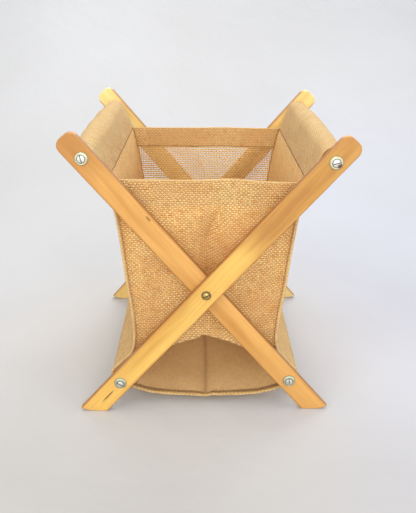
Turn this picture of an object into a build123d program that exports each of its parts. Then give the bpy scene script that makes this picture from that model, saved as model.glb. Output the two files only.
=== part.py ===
from build123d import *
import os
from math import cos, radians, sin

# Folding basket: two crossed pairs of wooden slats carry four round bars, and a burlap
# bag hangs on the bars. Millimetres. X runs across the crossed slats, Y from the front
# to the back along the bars, and +Z is up. The origin is on the floor, midway between
# the four feet. Frame A leans to +X at the top and frame B to -X.

# --- driving dimensions: wooden frames ---
PIVOT_HEIGHT = 151.5  # height of the crossing bolts above the floor
OPEN_ANGLE = 40.8  # lean of each slat from the vertical with the basket open
TOP_REACH = 195.1  # pivot to the top bar, along a slat
BOTTOM_REACH = 148.6  # pivot to the bottom bar, along a slat
END_REACH = 223.9  # pivot to the slat's rounded top end
DEPTH = 311.6  # outer face to outer face of the slats
SLAT_WIDTH = 25.4
SLAT_THICKNESS = 7.6
SLAT_GAP = 0.4  # running gap between the two slats of a pair
SLAT_CORNER = 9.5  # radius of the top corners, seen from the front
SLAT_EDGE = 1.3  # rounding of the long edges
FOOT_FLAT = 14.0  # length of each foot that lies flat on the floor
TIP_RISE = 4.1  # height of the foot's outer tip above the floor
BAR_RADIUS = 9.5
BAR_CHAMFER = 0.8

# --- driving dimensions: fasteners ---
SCREW_RADIUS = 2.0
SCREW_LENGTH = 36.0  # from the slat's face to the point
SCREW_POINT = 5.0  # length of the tapered point
SCREW_HEAD_RADIUS = 4.6
SCREW_RIM = 2.75  # height of the head's rim above the slat's face
SCREW_DOME = 3.9  # height of the head's middle above the slat's face
SCREW_NECK = 0.4  # height at which the head's cone starts
SCREW_HOLE = 2.3  # clearance hole through a slat
SCREW_PILOT = 2.05  # hole in a bar's end
PILOT_SPARE = 2.0  # depth of that hole past the screw's point
SCREW_SLOT = 1.1
SCREW_SLOT_DEPTH = 1.8
WASHER_RADIUS = 7.0
WASHER_HEIGHT = 2.6
WASHER_EDGE = 0.6  # thickness at the outer edge
WASHER_LAND = 0.3  # depth of the straight hole under the cone
WASHER_CONE = 4.8  # radius of the cone's mouth
WASHER_CROWN = 5.5  # outer radius of the flat crown
BOLT_RADIUS = 2.5
BOLT_RUNNING_FIT = 0.05  # radial play of the slats on a crossing bolt
BOLT_HEAD_RADIUS = 5.25
BOLT_HEAD_HEIGHT = 3.2
BOLT_RIM = 0.6  # height of the head's straight edge
BOLT_SLOT = 1.3
BOLT_SLOT_DEPTH = 1.5
BOLT_END = 0.4  # how far the bolt stands out of its nut
FACE_PLAY = 0.15  # gap between a slat and a bolt head or nut
NUT_ACROSS_FLATS = 8.0
NUT_THICKNESS = 3.6

# --- driving dimensions: burlap bag ---
CLOTH = 1.6  # thickness of the bag's walls, hems taken together
CASING_INNER = 10.0  # inside radius of the cloth tubes round the bars
CASING_END = 138.5  # the cloth's ends, from the middle of the depth
WALL_END = 138.5
WRAP_START = 60.0  # degrees above a bottom bar's outward side at which the wrap starts
WRAP_SWEEP = 165.0  # degrees that it turns round the bar from there
PANEL_FRONT = 133.6  # outer face of the front and back panels, from the middle
PANEL_TOP = 272.0
FLOOR_RIDGE = 91.0  # the bag's floor stands up in a tent along the middle
JOIN_GAP = 0.4  # gap between two cloth solids of the bag
PANEL_INSET = 0.6  # further gap between a panel's side edges and the curved walls

# One side wall from under its top bar to above its bottom bar, as distance from the
# middle and height.
WALL_PROFILE = [
    (112.0, 286.5),
    (104.0, 272.0),
    (97.0, 240.0),
    (91.5, 200.0),
    (86.5, 150.0),
    (82.5, 118.0),
    (81.0, 90.0),
    (85.0, 69.0),
    (100.0, 54.5),
]
# The floor and the lower edge of both panels, from the ridge down to one side wall.
TENT_PROFILE = [(0.0, FLOOR_RIDGE), (20.0, 84.0), (41.0, 62.0), (60.0, 46.0), (77.0, 50.0)]
# The bottom strip, from the middle out to one bottom bar.
SLING_PROFILE = [(0.0, 11.5), (28.0, 13.0), (54.0, 17.0), (84.0, 23.5)]

# --- derived places ---
HALF_DEPTH = DEPTH / 2
HALF_WIDTH = SLAT_WIDTH / 2
LEAN = radians(OPEN_ANGLE)
OUTER_FACE = HALF_DEPTH
INNER_FACE = HALF_DEPTH - 2 * SLAT_THICKNESS - SLAT_GAP
MIDDLE_FACE = HALF_DEPTH - SLAT_THICKNESS
CASING_OUTER = CASING_INNER + CLOTH

FRONT, BACK = -1, 1
LEFT, RIGHT = -1, 1
# The side of each frame's top end. In front frame A lies outside frame B, behind inside.
TOP_SIDE = {"a": RIGHT, "b": LEFT}
OUTER_FRAME = {FRONT: "a", BACK: "b"}
END_NAMES = {FRONT: "front", BACK: "back"}
SIDE_NAMES = {LEFT: "left", RIGHT: "right"}


def along_slat(frame, reach, across=0.0):
    """X and Z of a point on a slat: reach along it from the pivot, across towards its lower edge."""
    side = TOP_SIDE[frame]
    x = side * (reach * sin(LEAN) + across * cos(LEAN))
    z = PIVOT_HEIGHT + reach * cos(LEAN) - across * sin(LEAN)
    return x, z


def outer_face(frame, end):
    """Y of the outward face of a frame's slat at that end."""
    return end * (OUTER_FACE if OUTER_FRAME[end] == frame else MIDDLE_FACE - SLAT_GAP)


def seat_planes(x, y, z, outward, turn):
    """A plane that faces outward along Y at a fastener's seat, and the plane of its section."""
    facing = Vector(0, outward, 0)
    radial = Vector(cos(radians(turn)), 0, sin(radians(turn)))
    seat = Plane(origin=(x, y, z), x_dir=radial, z_dir=facing)
    section = Plane(origin=(x, y, z), x_dir=radial, z_dir=radial.cross(facing))
    return seat, section


def mirrored(profile, side):
    """A profile given by distance from the middle, on the left or right side."""
    return [(side * x, z) for x, z in profile]


def save(piece, label):
    """Labels a finished piece and writes its STEP file."""
    piece.part.label = label
    export_step(piece.part, f"parts/{label}.step")


def make_slat(frame, end):
    """One leaning slat with a rounded top, a foot cut to the floor and three holes."""
    side = TOP_SIDE[frame]
    face = outer_face(frame, end)
    near = min(face, face - end * SLAT_THICKNESS)
    heel_reach = -(PIVOT_HEIGHT - HALF_WIDTH * sin(LEAN)) / cos(LEAN)
    tip_reach = -(PIVOT_HEIGHT + HALF_WIDTH * sin(LEAN) - TIP_RISE) / cos(LEAN)
    heel = along_slat(frame, heel_reach, HALF_WIDTH)
    tip = along_slat(frame, tip_reach, -HALF_WIDTH)
    top_lower = along_slat(frame, END_REACH, HALF_WIDTH)
    top_upper = along_slat(frame, END_REACH, -HALF_WIDTH)
    flat_end = (heel[0] - side * FOOT_FLAT, 0)
    with BuildPart() as slat:
        with BuildSketch(Plane.XZ.offset(-near - SLAT_THICKNESS)):
            with BuildLine():
                Polyline(flat_end, heel, top_lower, top_upper, tip)
                TangentArc(flat_end, tip, tangent=(-side, 0))
            make_face()
            fillet(vertices().group_by(Axis.Y)[-1] + vertices().group_by(Axis.Y)[-2], SLAT_CORNER)
        extrude(amount=SLAT_THICKNESS)
        flats = faces().filter_by(Axis.Y)
        fillet(flats.edges(), SLAT_EDGE)
        for reach, radius in [
            (TOP_REACH, SCREW_HOLE),
            (0, BOLT_RADIUS + BOLT_RUNNING_FIT),
            (-BOTTOM_REACH, SCREW_HOLE),
        ]:
            x, z = along_slat(frame, reach)
            with Locations(Plane(origin=(x, near, z), z_dir=(0, -1, 0))):
                Hole(radius, SLAT_THICKNESS * 4)
    save(slat, f"slat_{frame}_{END_NAMES[end]}")


def bar_ends(frame):
    """Y of both ends of the bars that one frame carries."""
    front = outer_face(frame, FRONT) + SLAT_THICKNESS
    back = outer_face(frame, BACK) - SLAT_THICKNESS
    return front, back


def make_bar(frame, reach, label):
    """A round bar between a frame's two slats, drilled at both ends for its screws."""
    x, z = along_slat(frame, reach)
    front, back = bar_ends(frame)
    pilot_depth = SCREW_LENGTH - SLAT_THICKNESS + PILOT_SPARE
    with BuildPart() as bar:
        with BuildSketch(Plane.XZ.offset(-back)):
            with Locations((x, z)):
                Circle(BAR_RADIUS)
        extrude(amount=back - front)
        chamfer(edges().filter_by(GeomType.CIRCLE), BAR_CHAMFER)
        for y in (front, back - pilot_depth):
            with BuildSketch(Plane.XZ.offset(-y - pilot_depth)):
                with Locations((x, z)):
                    Circle(SCREW_PILOT)
            extrude(amount=pilot_depth, mode=Mode.SUBTRACT)
    save(bar, label)


def make_cup_washer(x, y, z, outward, label):
    """A raised finishing washer whose cone holds the screw's head."""
    _, section = seat_planes(x, y, z, outward, 0)
    with BuildPart() as washer:
        with BuildSketch(section):
            with BuildLine():
                Polyline(
                    (SCREW_HOLE, 0),
                    (SCREW_HOLE, WASHER_LAND),
                    (WASHER_CONE, WASHER_HEIGHT),
                    (WASHER_CROWN, WASHER_HEIGHT),
                    (WASHER_RADIUS, WASHER_EDGE),
                    (WASHER_RADIUS, 0),
                    (SCREW_HOLE, 0),
                )
            make_face()
        revolve(axis=Axis((x, y, z), (0, outward, 0)))
    save(washer, label)


def make_screw(x, y, z, outward, slot_turn, label):
    """A slotted wood screw with a raised countersunk head."""
    seat, section = seat_planes(x, y, z, outward, slot_turn)
    rim = (SCREW_HEAD_RADIUS, SCREW_RIM)
    taper = (SCREW_RADIUS, SCREW_POINT - SCREW_LENGTH)
    with BuildPart() as screw:
        with BuildSketch(section):
            with BuildLine():
                Polyline((0, SCREW_DOME), (0, -SCREW_LENGTH), taper)
                Polyline(taper, (SCREW_RADIUS, SCREW_NECK), rim)
                TangentArc((0, SCREW_DOME), rim, tangent=(1, 0))
            make_face()
        revolve(axis=Axis((x, y, z), (0, outward, 0)))
        with BuildSketch(seat.offset(SCREW_DOME)):
            Rectangle(3 * SCREW_HEAD_RADIUS, SCREW_SLOT)
        extrude(amount=-SCREW_SLOT_DEPTH, mode=Mode.SUBTRACT)
    save(screw, label)


def make_pivot_bolt(end, slot_turn):
    """A round-headed slotted bolt through both slats of a crossing."""
    y = end * (OUTER_FACE + FACE_PLAY)
    seat, section = seat_planes(0, y, PIVOT_HEIGHT, end, slot_turn)
    shank = OUTER_FACE + 2 * FACE_PLAY - INNER_FACE + NUT_THICKNESS + BOLT_END
    rim = (BOLT_HEAD_RADIUS, BOLT_RIM)
    with BuildPart() as bolt:
        with BuildSketch(section):
            with BuildLine():
                Polyline((0, BOLT_HEAD_HEIGHT), (0, -shank), (BOLT_RADIUS, -shank))
                Polyline((BOLT_RADIUS, -shank), (BOLT_RADIUS, 0), (BOLT_HEAD_RADIUS, 0), rim)
                TangentArc((0, BOLT_HEAD_HEIGHT), rim, tangent=(1, 0))
            make_face()
        revolve(axis=Axis((0, y, PIVOT_HEIGHT), (0, end, 0)))
        with BuildSketch(seat.offset(BOLT_HEAD_HEIGHT)):
            Rectangle(3 * BOLT_HEAD_RADIUS, BOLT_SLOT)
        extrude(amount=-BOLT_SLOT_DEPTH, mode=Mode.SUBTRACT)
    save(bolt, f"pivot_bolt_{END_NAMES[end]}")


def make_pivot_nut(end):
    """The hexagon nut on a crossing bolt, on the bag's side of the slats."""
    outer = end * (INNER_FACE - FACE_PLAY)
    with BuildPart() as nut:
        with BuildSketch(Plane.XZ.offset(-outer)):
            with Locations((0, PIVOT_HEIGHT)):
                RegularPolygon(NUT_ACROSS_FLATS / 2, 6, major_radius=False)
                Circle(BOLT_RADIUS + BOLT_RUNNING_FIT, mode=Mode.SUBTRACT)
        extrude(amount=end * NUT_THICKNESS)
    save(nut, f"pivot_nut_{END_NAMES[end]}")


def make_top_casing(frame, label):
    """The cloth tube that the bag hangs by, round a top bar."""
    x, z = along_slat(frame, TOP_REACH)
    with BuildPart() as casing:
        with BuildSketch(Plane.XZ.offset(-CASING_END)):
            with Locations((x, z)):
                Circle(CASING_OUTER)
                Circle(CASING_INNER, mode=Mode.SUBTRACT)
        extrude(amount=2 * CASING_END)
    save(casing, label)


def make_bottom_wrap(frame, side, label):
    """The cloth that turns round the outer half of a bottom bar."""
    x, z = along_slat(frame, -BOTTOM_REACH)
    start, sweep = (180 - WRAP_START, WRAP_SWEEP) if side == LEFT else (WRAP_START, -WRAP_SWEEP)
    with BuildPart() as wrap:
        with BuildSketch(Plane.XZ.offset(-CASING_END)):
            with BuildLine():
                turn = CenterArc((x, z), CASING_INNER, start, sweep)
                outside = CenterArc((x, z), CASING_OUTER, start, sweep)
                Line(turn @ 0, outside @ 0)
                Line(turn @ 1, outside @ 1)
            make_face()
        extrude(amount=2 * CASING_END)
    save(wrap, label)


def beside(profile, distance):
    """A profile's points moved sideways, square to the line through each point's neighbours."""
    moved = []
    for i, (x, z) in enumerate(profile):
        before, after = profile[max(i - 1, 0)], profile[min(i + 1, len(profile) - 1)]
        run = Vector(after[0] - before[0], after[1] - before[1]).normalized()
        moved.append((x - run.Y * distance, z + run.X * distance))
    return moved


def make_strip(profile, half_length, label):
    """A long strip of cloth: a curved profile, seen from the front, drawn out along Y."""
    with BuildPart() as strip:
        with BuildSketch(Plane.XZ.offset(-half_length)):
            with BuildLine():
                one_face = Spline(beside(profile, -CLOTH / 2))
                other_face = Spline(beside(profile, CLOTH / 2))
                Line(one_face @ 0, other_face @ 0)
                Line(one_face @ 1, other_face @ 1)
            make_face()
        extrude(amount=2 * half_length)
    save(strip, label)


def make_panel(end):
    """The front or back panel: side edges along the walls, lower edge along the tented floor."""
    wall_inset = CLOTH + JOIN_GAP + PANEL_INSET
    wall = [(x - wall_inset, z) for x, z in WALL_PROFILE[1:-1]]
    tent = TENT_PROFILE[:-1]
    with BuildPart() as panel:
        with BuildSketch(Plane.XZ.offset(-end * PANEL_FRONT)):
            with BuildLine():
                Line((wall[0][0], PANEL_TOP), (-wall[0][0], PANEL_TOP))
                for side in (LEFT, RIGHT):
                    Spline(mirrored(wall, side))
                    Line(mirrored(wall[-1:] + tent[-1:], side))
                Spline(mirrored(tent[::-1], LEFT) + tent[1:])
            make_face()
        extrude(amount=end * CLOTH)
    save(panel, f"{END_NAMES[end]}_panel")


os.makedirs("parts", exist_ok=True)

# How far each screw happened to be turned when it went tight.
TOP_SLOTS = {("a", FRONT): 15, ("b", FRONT): 105, ("a", BACK): 140, ("b", BACK): 50}
BOTTOM_SLOTS = {("a", FRONT): 150, ("b", FRONT): 95, ("a", BACK): 20, ("b", BACK): 70}

for frame, top_side in TOP_SIDE.items():
    bottom_side = -top_side
    places = [
        ("top", TOP_REACH, top_side, TOP_SLOTS),
        ("bottom", -BOTTOM_REACH, bottom_side, BOTTOM_SLOTS),
    ]
    for end in (FRONT, BACK):
        make_slat(frame, end)
        face_y = outer_face(frame, end)
        for level, reach, side, slots in places:
            corner = f"{level}_{SIDE_NAMES[side]}_{END_NAMES[end]}"
            x, z = along_slat(frame, reach)
            make_cup_washer(x, face_y, z, end, f"cup_washer_{corner}")
            make_screw(x, face_y, z, end, slots[frame, end], f"screw_{corner}")
    for level, reach, side, _ in places:
        make_bar(frame, reach, f"{level}_bar_{SIDE_NAMES[side]}")
    make_top_casing(frame, f"top_casing_{SIDE_NAMES[top_side]}")
    make_bottom_wrap(frame, bottom_side, f"bottom_wrap_{SIDE_NAMES[bottom_side]}")

for end, slot_turn in ((FRONT, 25), (BACK, 110)):
    make_pivot_bolt(end, slot_turn)
    make_pivot_nut(end)
    make_panel(end)

for side in (LEFT, RIGHT):
    make_strip(mirrored(WALL_PROFILE, side), WALL_END, f"side_wall_{SIDE_NAMES[side]}")
make_strip(
    mirrored(TENT_PROFILE[::-1], LEFT) + TENT_PROFILE[1:],
    PANEL_FRONT - CLOTH - JOIN_GAP,
    "bag_floor",
)
make_strip(mirrored(SLING_PROFILE[::-1], LEFT) + SLING_PROFILE[1:], WALL_END, "bottom_sling")
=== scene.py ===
"""Looks for the folding basket: a burlap bag hung on a wooden X-frame. Lengths are in metres."""

import math

import bmesh
import bpy
import numpy as np
from mathutils import Matrix, Vector, noise


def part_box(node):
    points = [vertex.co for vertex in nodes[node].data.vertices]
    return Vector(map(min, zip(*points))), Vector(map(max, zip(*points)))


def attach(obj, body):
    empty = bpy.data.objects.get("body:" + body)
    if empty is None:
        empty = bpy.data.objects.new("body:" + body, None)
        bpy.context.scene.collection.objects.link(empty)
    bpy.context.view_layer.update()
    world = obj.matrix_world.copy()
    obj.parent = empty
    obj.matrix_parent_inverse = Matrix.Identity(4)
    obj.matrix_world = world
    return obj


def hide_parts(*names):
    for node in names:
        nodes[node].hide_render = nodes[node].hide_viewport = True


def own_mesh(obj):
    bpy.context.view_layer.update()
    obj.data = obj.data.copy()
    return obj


MM = 0.001
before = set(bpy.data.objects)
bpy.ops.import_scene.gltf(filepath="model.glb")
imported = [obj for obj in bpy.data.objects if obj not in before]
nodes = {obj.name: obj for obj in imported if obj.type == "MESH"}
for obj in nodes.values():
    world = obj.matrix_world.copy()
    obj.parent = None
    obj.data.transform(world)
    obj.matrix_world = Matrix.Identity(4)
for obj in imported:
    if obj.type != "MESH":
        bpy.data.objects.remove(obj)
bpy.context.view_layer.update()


# ---------------------------------------------------------------- places from the frame
def centre_of(node):
    """The middle of a CAD node's box."""
    low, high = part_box(node)
    return (low + high) / 2


def length_of(node):
    """A CAD node's size along Y."""
    low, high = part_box(node)
    return high.y - low.y


LEFT, RIGHT = -1, 1
FRONT, BACK = -1, 1
SIDE_NAME = {LEFT: "left", RIGHT: "right"}
END_NAME = {FRONT: "front", BACK: "back"}
TOP_BODY = {LEFT: "frame_b", RIGHT: "frame_a"}
BOTTOM_BODY = {LEFT: "frame_a", RIGHT: "frame_b"}

PIVOT_Z = centre_of("pivot_bolt_front").z
TOP_BAR = centre_of("top_bar_right")
BOTTOM_BAR = centre_of("bottom_bar_right")
LEAN = math.atan2(TOP_BAR.x, TOP_BAR.z - PIVOT_Z)
CLOTH_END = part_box("side_wall_left")[1].y
PANEL_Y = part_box("back_panel")[1].y - 1.0 * MM
PANEL_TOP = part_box("front_panel")[1].z

WARP_PITCH = 2.33 * MM  # spacing of the burlap's thin threads, which run along a sheet
WEFT_PITCH = 2.25 * MM  # and of the thick ones across it
CLOTH = 0.9 * MM  # thickness of a single layer
HEM_CLOTH = 0.8 * MM  # thickness of the layer a hem adds
PANEL_INSET = 0.8 * MM  # from a wall's middle to the panels' edges
EDGE_INSET = 2.9 * MM  # from a wall's cut edge to the middle of its rolled edge

STITCH_PITCH = 4.2 * MM
STITCH_LENGTH = 2.9 * MM
STITCH_RADIUS = 0.38 * MM

CAMERA_PLACE = (-0.0075, -0.7916, 0.4626)
CAMERA_TURN = 0.154  # degrees about Z
CAMERA_TILT = 90 - 22.79  # degrees up from straight down
CAMERA_ROLL = 0.44  # degrees about the view
CAMERA_LENS = 45.9
CAMERA_SHIFT = (0.0195, 0.0029)
LAMP_TARGET = Vector((0, 0, 0.16))  # the middle of the basket


# ---------------------------------------------------------------- camera, light, floor
def make_camera():
    """The camera, close in front of the basket and a little above it."""
    data = bpy.data.cameras.new("camera")
    data.lens = CAMERA_LENS
    data.shift_x, data.shift_y = CAMERA_SHIFT
    data.clip_start = 0.02
    data.clip_end = 20
    camera = bpy.data.objects.new("camera", data)
    bpy.context.scene.collection.objects.link(camera)
    turn = Matrix.Rotation(math.radians(CAMERA_TURN), 4, "Z")
    tilt = Matrix.Rotation(math.radians(CAMERA_TILT), 4, "X")
    roll = Matrix.Rotation(math.radians(CAMERA_ROLL), 4, "Z")
    camera.matrix_world = Matrix.Translation(CAMERA_PLACE) @ turn @ tilt @ roll
    bpy.context.scene.camera = camera


def area_light(name, place, size, power, colour):
    """A soft rectangular lamp that faces the basket."""
    data = bpy.data.lights.new(name, "AREA")
    data.shape = "RECTANGLE"
    data.size, data.size_y = size
    data.energy = power
    data.color = colour
    lamp = bpy.data.objects.new(name, data)
    lamp.location = place
    lamp.rotation_mode = "QUATERNION"
    lamp.rotation_quaternion = (LAMP_TARGET - Vector(place)).to_track_quat("-Z", "Y")
    bpy.context.scene.collection.objects.link(lamp)


def make_light():
    """Soft daylight in a pale room, warmer from the left and cooler from the right."""
    area_light("key_left", (-1.35, -1.3, 1.15), (1.0, 1.0), 10.2, (1.0, 0.95, 0.87))
    area_light("fill_front", (0.1, -1.45, 0.72), (0.9, 0.7), 10.8, (1.0, 0.98, 0.95))
    area_light("fill_right", (1.7, -0.6, 0.9), (1.3, 1.4), 9.5, (0.76, 0.85, 1.0))
    area_light("fill_back", (0.2, 1.2, 1.25), (1.6, 0.9), 21.5, (0.96, 0.97, 1.0))
    area_light("overhead", (0.0, 0.0, 1.9), (1.3, 1.3), 10.5, (1.0, 0.99, 0.98))
    world = bpy.data.worlds.new("room")
    world.use_nodes = True
    background = world.node_tree.nodes["Background"]
    background.inputs["Color"].default_value = (0.96, 0.975, 1.0, 1)
    background.inputs["Strength"].default_value = 0.86
    bpy.context.scene.world = world
    bpy.context.scene.view_settings.view_transform = "Standard"


# ---------------------------------------------------------------- node helpers
class Graph:
    """Builds one material's nodes from short calls that return sockets."""

    def __init__(self, name):
        self.material = bpy.data.materials.new(name)
        self.material.use_nodes = True
        self.tree = self.material.node_tree
        self.shader = self.tree.nodes["Principled BSDF"]

    def node(self, kind, inputs=None, **settings):
        made = self.tree.nodes.new(kind)
        for key, value in settings.items():
            setattr(made, key, value)
        for key, value in (inputs or {}).items():
            self.join(value, made.inputs[key])
        return made

    def join(self, value, socket):
        if isinstance(value, bpy.types.NodeSocket):
            self.tree.links.new(value, socket)
        else:
            socket.default_value = value

    def maths(self, operation, a, b=0.0, c=0.0):
        made = self.node("ShaderNodeMath", {0: a, 1: b, 2: c}, operation=operation)
        return made.outputs[0]

    def vector(self, x, y, z=0.0):
        return self.node("ShaderNodeCombineXYZ", {0: x, 1: y, 2: z}).outputs[0]

    def noise(self, vector, scale, detail=2.0, roughness=0.5):
        inputs = {"Vector": vector, "Scale": scale, "Detail": detail, "Roughness": roughness}
        return self.node("ShaderNodeTexNoise", inputs).outputs["Fac"]

    def remap(self, value, low, high, to_low, to_high, smooth=False):
        made = self.node(
            "ShaderNodeMapRange",
            {0: value, 1: low, 2: high, 3: to_low, 4: to_high},
            interpolation_type="SMOOTHSTEP" if smooth else "LINEAR",
        )
        return made.outputs[0]

    def mix(self, share, a, b, blend="MIX"):
        made = self.node("ShaderNodeMix", data_type="RGBA", blend_type=blend)
        self.join(share, made.inputs["Factor"])
        self.join(a, made.inputs[6])
        self.join(b, made.inputs[7])
        return made.outputs[2]

    def ramp(self, value, stops):
        made = self.node("ShaderNodeValToRGB", {0: value})
        points = made.color_ramp.elements
        while len(points) < len(stops):
            points.new(0.5)
        for point, (place, colour) in zip(points, stops):
            point.position = place
            point.color = (*colour, 1)
        return made.outputs[0]

    def bump(self, height, distance, strength):
        inputs = {"Height": height, "Distance": distance, "Strength": strength}
        return self.node("ShaderNodeBump", inputs).outputs[0]

    def finish(self, **inputs):
        for key, value in inputs.items():
            self.join(value, self.shader.inputs[key.replace("_", " ")])
        return self.material


# ---------------------------------------------------------------- materials
THREAD_START = 200.0  # added to thread counts, so that none is below zero
STRAW = (0.95, 0.61, 0.20)
STRAW_PALE = (1.0, 0.82, 0.40)
STRAW_RED = (0.78, 0.39, 0.13)
STRAW_DARK = (0.38, 0.155, 0.050)


def burlap(
    name,
    warp,
    weft,
    gaps=0.0,
    tint=(1, 1, 1),
    pale=0.0,
    drift=1.8,
    loose=1.0,
    streaks=0.0,
    fade=None,
    glow=0.42,
    crease=None,
):
    """Plain-weave jute. The UV map counts threads, so every crossing is one unit square.

    warp threads run along V and weft threads along U. Each is as wide as twice its
    number, as a share of the spacing. gaps is how clear the gaps between them are,
    drift how many threads the weave wanders, and loose how much further apart than
    usual the weft threads lie. tint multiplies the colour and pale bleaches it.
    streaks is how strongly slanting slubs show, and fade the two heights between which pale sets in. glow
    is the share of light that comes through the cloth, and crease the X of a fold along which shade is
    painted.
    """
    g = Graph(name)
    uv = g.node("ShaderNodeUVMap", uv_map="threads").outputs[0]
    uv = g.node("ShaderNodeVectorMath", {0: uv, 1: (1, 1 / loose, 1)}, operation="MULTIPLY").outputs[0]
    split = g.node("ShaderNodeSeparateXYZ", {0: uv})
    wander = g.node("ShaderNodeTexNoise", {"Vector": uv, "Scale": 0.10, "Detail": 2.0})
    parts = g.node("ShaderNodeSeparateColor", {0: wander.outputs["Color"]})
    u = g.maths("MULTIPLY_ADD", g.maths("SUBTRACT", parts.outputs[0], 0.5), drift, split.outputs[0])
    v = g.maths("MULTIPLY_ADD", g.maths("SUBTRACT", parts.outputs[1], 0.5), drift, split.outputs[1])
    u, v = g.maths("ADD", u, THREAD_START), g.maths("ADD", v, THREAD_START)
    u_cell, v_cell = g.maths("FLOOR", u), g.maths("FLOOR", v)
    u_in = g.maths("SUBTRACT", g.maths("FRACT", u), 0.5)
    v_in = g.maths("SUBTRACT", g.maths("FRACT", v), 0.5)
    # Hand-spun thread: its thickness and shade wander along its length.
    warp_run = g.vector(g.maths("MULTIPLY", u_cell, 7.3), g.maths("MULTIPLY", v, 0.30))
    weft_run = g.vector(g.maths("MULTIPLY", u, 0.30), g.maths("MULTIPLY", v_cell, 9.1), 5.0)
    warp_shade, weft_shade = g.noise(warp_run, 1.0), g.noise(weft_run, 1.0)
    warp_wide = g.remap(warp_shade, 0.3, 0.7, warp - 0.07, warp + 0.07)
    weft_wide = g.remap(weft_shade, 0.3, 0.7, weft - 0.06, weft + 0.06)

    def round_height(offset, half_width):
        """How high a round thread stands at that offset from its middle; 0 beside it."""
        share = g.maths("DIVIDE", offset, half_width)
        left = g.maths("SUBTRACT", 1.0, g.maths("MULTIPLY", share, share))
        return g.maths("SQRT", g.maths("MAXIMUM", left, 0.0))

    warp_high, weft_high = round_height(u_in, warp_wide), round_height(v_in, weft_wide)
    odd = g.maths("MODULO", g.maths("ADD", u_cell, v_cell), 2.0)
    over = g.maths("SUBTRACT", 1.0, g.maths("MULTIPLY", g.maths("ROUND", odd), 2.0))
    warp_wave = g.maths("MULTIPLY", g.maths("COSINE", g.maths("MULTIPLY", v_in, math.pi)), over)
    weft_wave = g.maths("MULTIPLY", g.maths("COSINE", g.maths("MULTIPLY", u_in, math.pi)), over)
    # Threads take turns on top. Where a thread isn't, its level drops below the other's.
    warp_level = g.maths("MULTIPLY_ADD", warp_wave, 0.55, warp_high)
    weft_level = g.maths("MULTIPLY_ADD", weft_wave, -0.55, weft_high)
    warp_here = g.maths("GREATER_THAN", warp_high, 0.02)
    weft_here = g.maths("GREATER_THAN", weft_high, 0.02)
    warp_level = g.maths("MULTIPLY_ADD", g.maths("ADD", warp_level, 1.0), warp_here, -1.0)
    weft_level = g.maths("MULTIPLY_ADD", g.maths("ADD", weft_level, 1.0), weft_here, -1.0)
    level = g.maths("MAXIMUM", warp_level, weft_level)
    warp_top = g.maths("GREATER_THAN", warp_level, weft_level)
    thread = g.maths("MAXIMUM", warp_here, weft_here)

    # Painted light: the weft floats are painted paler, as if lit from above, and the warp darker, so the
    # weft floats read as pale dashes.
    shade = g.mix(warp_top, g.maths("ADD", weft_shade, 0.17), g.maths("SUBTRACT", warp_shade, 0.15))
    fibre_warp = g.vector(g.maths("MULTIPLY", u, 9.0), g.maths("MULTIPLY", v, 1.6))
    fibre_weft = g.vector(g.maths("MULTIPLY", u, 1.6), g.maths("MULTIPLY", v, 9.0))
    fibre = g.mix(warp_top, g.noise(fibre_weft, 1.0, 3.0), g.noise(fibre_warp, 1.0, 3.0))
    straw = g.ramp(shade, [(0.32, STRAW_RED), (0.50, STRAW), (0.62, STRAW_PALE)])
    straw = g.mix(g.remap(fibre, 0.36, 0.74, 0.0, 0.40), straw, (*STRAW_PALE, 1))
    # Painted shade where each thread dips low under the other.
    straw = g.mix(g.remap(level, 0.1, 1.15, 0.72, 0.0, True), straw, (*STRAW_DARK, 1))
    patch = g.noise(uv, 0.045, 3.0)
    straw = g.mix(g.remap(patch, 0.40, 0.66, 0.0, 0.38), straw, (*STRAW_RED, 1))
    if streaks:
        slant = g.maths("MULTIPLY_ADD", u, 0.8, v)
        slub_run = g.vector(g.maths("MULTIPLY", slant, 0.75), g.maths("MULTIPLY", v, 0.14))
        slub = g.noise(slub_run, 1.0, 3.0)
        straw = g.mix(g.remap(slub, 0.50, 0.68, 0.0, streaks, True), straw, (1.0, 0.84, 0.50, 1))
        straw = g.mix(g.remap(slub, 0.44, 0.30, 0.0, streaks, True), straw, (0.56, 0.27, 0.095, 1))
    if fade:
        place = g.node("ShaderNodeTexCoord").outputs["Object"]
        height = g.node("ShaderNodeSeparateXYZ", {0: place}).outputs[2]
        pale = g.remap(height, fade[0], fade[1], 0.0, pale, True)
    straw = g.mix(pale, straw, (0.92, 0.73, 0.38, 1))
    straw = g.mix(1.0, straw, (*tint, 1), "MULTIPLY")
    # Painted shade along the fold's crease, darkest at its middle.
    if crease is not None:
        place = g.node("ShaderNodeTexCoord").outputs["Object"]
        aside = g.maths("SUBTRACT", g.node("ShaderNodeSeparateXYZ", {0: place}).outputs[0], crease)
        soil_and_shade = g.remap(g.maths("ABSOLUTE", aside), 0.2 * MM, 4.2 * MM, 0.30, 0.0, True)
        straw = g.mix(soil_and_shade, straw, (*STRAW_DARK, 1))
    # Painted shade: the gaps between threads are dark brown, standing in for the shade seen through them.
    colour = g.mix(thread, (0.24, 0.090, 0.030, 1), straw)
    height = g.maths("MULTIPLY_ADD", fibre, 0.25, level)
    normal = g.bump(height, 0.45 * MM, 0.8)
    g.shader.inputs["Sheen Weight"].default_value = 0.15
    g.shader.inputs["Sheen Roughness"].default_value = 0.5
    g.shader.inputs["Specular IOR Level"].default_value = 0.15
    g.finish(Base_Color=colour, Roughness=0.86, Normal=normal)
    through = g.node("ShaderNodeBsdfTranslucent", {"Color": colour, "Normal": normal}).outputs[0]
    solid = g.shader.outputs[0]
    lit = g.node("ShaderNodeMixShader", {0: glow, 1: solid, 2: through}).outputs[0]
    if gaps:
        clear = g.node("ShaderNodeBsdfTransparent").outputs[0]
        solidity = g.remap(thread, 0.0, 1.0, 1.0 - gaps, 1.0)
        lit = g.node("ShaderNodeMixShader", {0: solidity, 1: clear, 2: lit}).outputs[0]
    g.join(lit, g.tree.nodes["Material Output"].inputs[0])
    return g.material


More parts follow.
